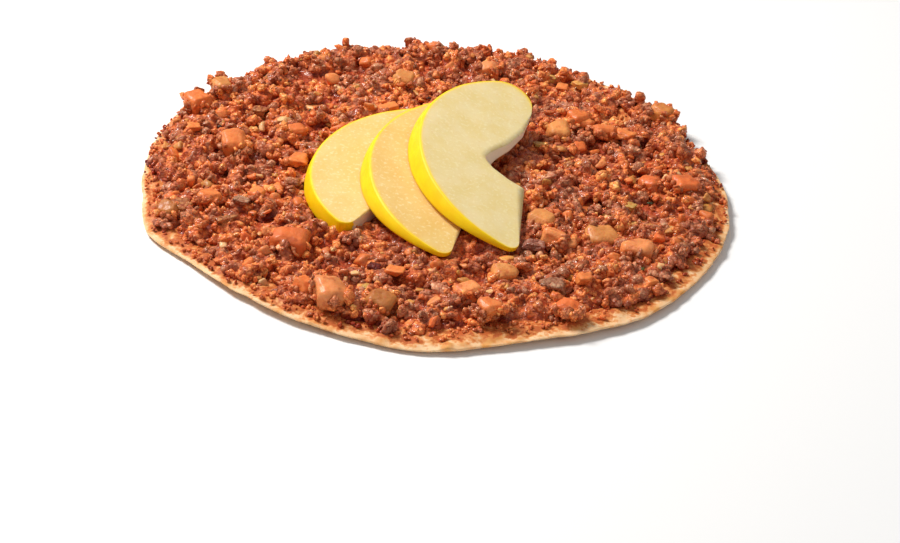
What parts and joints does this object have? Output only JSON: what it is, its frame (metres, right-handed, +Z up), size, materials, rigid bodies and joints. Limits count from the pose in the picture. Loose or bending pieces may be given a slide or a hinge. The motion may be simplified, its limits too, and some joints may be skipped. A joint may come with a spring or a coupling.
{
  "type": "lahmacun",
  "caption": "Thin round flatbread baked under spiced mince with diced tomato and onion, and peel-on quince slices fanned out on top.",
  "frame": {"origin": "middle of the bread's flat underside, on the surface that it rests on", "axes": "+Z up through the bread and its topping; -Y towards the front, where the bare edge of the dough is widest; +X to the right, the way the quince slices fan out"},
  "size_m": [0.2399, 0.2447, 0.0312],
  "materials": {
    "baked_dough": "matte",
    "spiced_mince": "satin",
    "tomato_flesh": "satin",
    "cooked_onion": "satin",
    "quince_flesh": "satin"
  },
  "bodies": {
    "root": {"flatbread": "baked_dough", "meat_topping": "spiced_mince", "tomato_dice_01": "tomato_flesh", "tomato_dice_02": "tomato_flesh", "tomato_dice_03": "tomato_flesh", "tomato_dice_04": "tomato_flesh", "tomato_dice_05": "tomato_flesh", "tomato_dice_06": "tomato_flesh", "tomato_dice_07": "tomato_flesh", "tomato_dice_08": "tomato_flesh", "tomato_dice_09": "tomato_flesh", "tomato_dice_10": "tomato_flesh", "tomato_dice_11": "tomato_flesh", "tomato_dice_12": "tomato_flesh", "tomato_dice_13": "tomato_flesh", "tomato_dice_14": "tomato_flesh", "tomato_dice_15": "tomato_flesh", "tomato_dice_16": "tomato_flesh", "tomato_dice_17": "tomato_flesh", "tomato_dice_18": "tomato_flesh", "onion_piece_01": "cooked_onion", "onion_piece_02": "cooked_onion", "onion_piece_03": "cooked_onion", "onion_piece_04": "cooked_onion", "onion_piece_05": "cooked_onion", "onion_piece_06": "cooked_onion", "onion_piece_07": "cooked_onion", "onion_piece_08": "cooked_onion", "onion_piece_09": "cooked_onion", "quince_slice_left": "quince_flesh", "quince_slice_middle": "quince_flesh", "quince_slice_right": "quince_flesh"}
  },
  "joints": []
}
